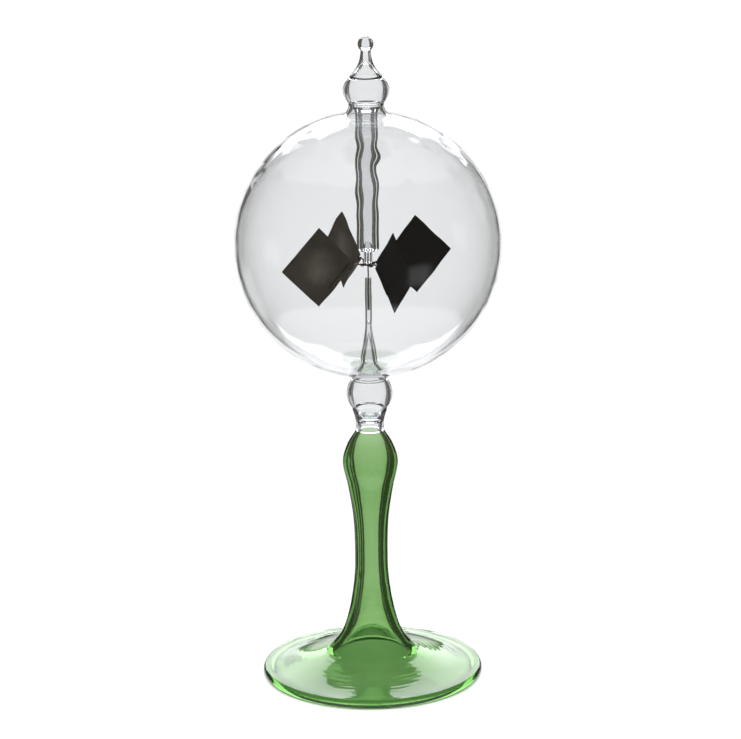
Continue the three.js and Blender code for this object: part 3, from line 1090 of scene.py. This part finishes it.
def bare_metal():
    material, tree, shader = new_finish("vane_bare_metal")
    shader.inputs["Metallic"].default_value = 0.85
    flat = sheet_coordinates(tree)
    clouds = noise_on(tree, flat, 3.4, 6.0, roughness=0.62)
    middle = tree.nodes.new("ShaderNodeVectorMath")
    middle.operation = "DISTANCE"
    middle.inputs[1].default_value = (0.48, 0.50, 0.0)
    tree.links.new(flat, middle.inputs[0])
    patch = rise(tree, middle.outputs["Value"], 0.42, 0.05)
    cloudy = sum_up(tree, "MULTIPLY", patch, clouds)
    share = sum_up(tree, "MULTIPLY_ADD", clouds, 0.30, cloudy)
    brown, pale = (0.12, 0.102, 0.082, 1.0), (0.52, 0.47, 0.40, 1.0)
    tree.links.new(blend_colours(tree, share, brown, pale), shader.inputs["Base Color"])
    scratches = noise_on(tree, flat, 60.0, 4.0)
    vary_gloss(tree, shader, clouds, 0.42, 0.66)
    raise_bumps(tree, shader, scratches, 0.00002, strength=0.5)
    return material


vane_metal = bare_metal()
print("bare finish:", vane_metal.name)


# %% Soot
def soot():
    material, tree, shader = new_finish("vane_soot")
    shader.inputs["Specular IOR Level"].default_value = 0.25
    grain = noise_on(tree, sheet_coordinates(tree), 45.0, 8.0)
    black, grey = (0.003, 0.003, 0.003, 1.0), (0.012, 0.012, 0.013, 1.0)
    tree.links.new(blend_colours(tree, grain, black, grey), shader.inputs["Base Color"])
    vary_gloss(tree, shader, grain, 0.75, 1.0)
    raise_bumps(tree, shader, grain, 0.00003, strength=0.6)
    return material


vane_soot = soot()
print("coated finish:", vane_soot.name)

# %% [markdown]
# ## One vane
# The sheet was cut by hand, so it is a little bowed and its edges are not quite straight.
# It is a grid of points on both faces, closed round the edge. The fold is one cross-section,
# down the flap, round the wire and back into the sheet, carried along the edge.

# %% Sheet and fold
def bow(up, down):
    """How far the sheet bends out of flat, in mm."""
    where = Vector((up * 0.13, down * 0.13, 4.2))
    free = min(1.0, up / 4.0)
    return 0.16 * noise.noise(where) * free


def sheet_shell(cells=26):
    """Both faces of the sheet, with the corner by the wire cut away."""
    half = 0.5 * sheet_thickness
    corner = 1.2
    ups = [0.0, corner] + [corner + (vane_side - corner) * i / cells for i in range(1, cells + 1)]
    downs = list(ups)
    vertices = []
    uvs = []
    index = {}
    for face in (0, 1):
        for i, up in enumerate(ups):
            for j, down in enumerate(downs):
                if i == 0 and j == 0:
                    continue
                side = bow(up, down) + (half if face else -half)
                index[face, i, j] = len(vertices)
                vertices.append(tuple(on_vane(side, up, down) * MM))
                uvs.append((down / vane_side, up / vane_side))
    cells_used = [(i, j) for i in range(len(ups) - 1) for j in range(len(downs) - 1)
                  if (i, j) != (0, 0)]
    faces = []
    count = {}
    for i, j in cells_used:
        loop = [(i, j), (i, j + 1), (i + 1, j + 1), (i + 1, j)]
        faces.append([index[1, a, b] for a, b in loop])
        faces.append([index[0, a, b] for a, b in reversed(loop)])
        for start, end in zip(loop, loop[1:] + loop[:1]):
            count[start, end] = count.get((start, end), 0) + 1
    for start, end in count:
        if (end, start) not in count:
            faces.append([index[1, *end], index[1, *start], index[0, *start], index[0, *end]])
    return vertices, faces, uvs


def fold_shell(steps=24):
    """The flap and fold as one bent strip with its own thickness."""
    half = 0.5 * sheet_thickness
    radius = fold_centre - half + 0.02
    middle = [(0.30, hem_width), (0.285, 1.25), (0.31, 0.95)]
    middle += [
        (radius * math.cos(math.radians(a)), fold_centre + radius * math.sin(math.radians(a)))
        for a in range(30, -186, -12)
    ]
    middle += [(-0.22, 0.85), (-0.10, 1.25), (-0.03, 1.5)]
    ring = offset_strip(middle, half * 0.95)
    vertices = []
    uvs = []
    faces = []
    for step in range(steps + 1):
        down = 1.2 + (hem_length - 1.2) * step / steps
        loose = 0.05 * noise.noise(Vector((down * 0.5, 1.7, 0.0)))
        for side, up in ring:
            vertices.append(tuple(on_vane(side * (1 + loose), up, down) * MM))
            uvs.append((down / vane_side, up / vane_side))
    size = len(ring)
    for step in range(steps):
        for i in range(size):
            ahead = (i + 1) % size
            low, high = step * size, (step + 1) * size
            faces.append([low + i, low + ahead, high + ahead, high + i])
    last = steps * size
    faces += strip_caps(size, 0, last)
    return vertices, faces, uvs


def offset_strip(line, half):
    """A closed ring round a bent line, half to each side."""
    left = []
    right = []
    for i, (x, y) in enumerate(line):
        ax, ay = line[max(0, i - 1)]
        bx, by = line[min(len(line) - 1, i + 1)]
        length = math.hypot(bx - ax, by - ay)
        nx, ny = -(by - ay) / length, (bx - ax) / length
        left.append((x + half * nx, y + half * ny))
        right.append((x - half * nx, y - half * ny))
    return left + right[::-1]


def strip_caps(size, first, last):
    """Quads that close both ends of a carried strip."""
    caps = []
    for i in range(size // 2 - 1):
        j = size - 1 - i
        caps.append([first + i, first + j, first + j - 1, first + i + 1])
        caps.append([last + i, last + i + 1, last + j - 1, last + j])
    return caps


print("fold half-thickness, mm:", 0.5 * sheet_thickness)


# %% Join the parts of one vane
def outward(vertices, faces):
    """Turn a closed shell's faces outward if it encloses a negative volume."""
    volume = 0.0
    for face in faces:
        a = Vector(vertices[face[0]])
        for second, third in zip(face[1:], face[2:]):
            volume += a.dot(Vector(vertices[second]).cross(Vector(vertices[third])))
    return faces if volume > 0 else [face[::-1] for face in faces]


def one_vane():
    vertices = []
    faces = []
    uvs = []
    for shell_vertices, shell_faces, shell_uvs in (sheet_shell(), fold_shell()):
        start = len(vertices)
        shell_faces = outward(shell_vertices, shell_faces)
        vertices += shell_vertices
        uvs += shell_uvs
        faces += [[start + index for index in face] for face in shell_faces]
    mesh = bpy.data.meshes.new("one_vane")
    mesh.from_pydata(vertices, [], faces)
    layer = mesh.uv_layers.new(name="sheet")
    for loop in mesh.loops:
        layer.data[loop.index].uv = uvs[loop.vertex_index]
    coated = mesh.attributes.new("coated", "BOOLEAN", "FACE")
    for polygon in mesh.polygons:
        coated.data[polygon.index].value = polygon.normal.dot(sideways) < 0.3
    mesh.polygons.foreach_set("use_smooth", [True] * len(mesh.polygons))
    mesh.set_sharp_from_angle(angle=math.radians(40))
    print("one vane:", len(mesh.polygons), "faces, coated",
          sum(item.value for item in coated.data))
    return mesh


single_vane = one_vane()

# %% [markdown]
# ## Four vanes
# The vanes' tree repeats the sheet as the wires' tree does, then gives it two finishes: bare
# metal everywhere, and soot where the faces are marked as coated.

# %% Repeat the vane
def vane_tree():
    tree, given, result = new_tree("vanes_about_axis", [
        ("Count", "NodeSocketInt"),
        ("First Turn", "NodeSocketFloat"),
        ("Bare Finish", "NodeSocketMaterial"),
        ("Coated Finish", "NodeSocketMaterial"),
    ])
    real = repeat_about_axis(tree, given["Geometry"], given["Count"], given["First Turn"])
    bare = tree.nodes.new("GeometryNodeSetMaterial")
    tree.links.new(real, bare.inputs["Geometry"])
    tree.links.new(given["Bare Finish"], bare.inputs["Material"])
    marked = tree.nodes.new("GeometryNodeInputNamedAttribute")
    marked.data_type = "BOOLEAN"
    marked.inputs["Name"].default_value = "coated"
    coat = tree.nodes.new("GeometryNodeSetMaterial")
    tree.links.new(bare.outputs[0], coat.inputs["Geometry"])
    tree.links.new(marked.outputs["Attribute"], coat.inputs["Selection"])
    tree.links.new(given["Coated Finish"], coat.inputs["Material"])
    tree.links.new(coat.outputs[0], result["Geometry"])
    return tree


vanes = run_tree(
    "vane_sheets", single_vane, vane_tree(),
    {"Count": 4, "First Turn": first_turn, "Bare Finish": vane_metal, "Coated Finish": vane_soot},
)
stand_for(vanes, "mill", "vane_sheet", "vane_1", "vane_2", "vane_3", "vane_4")
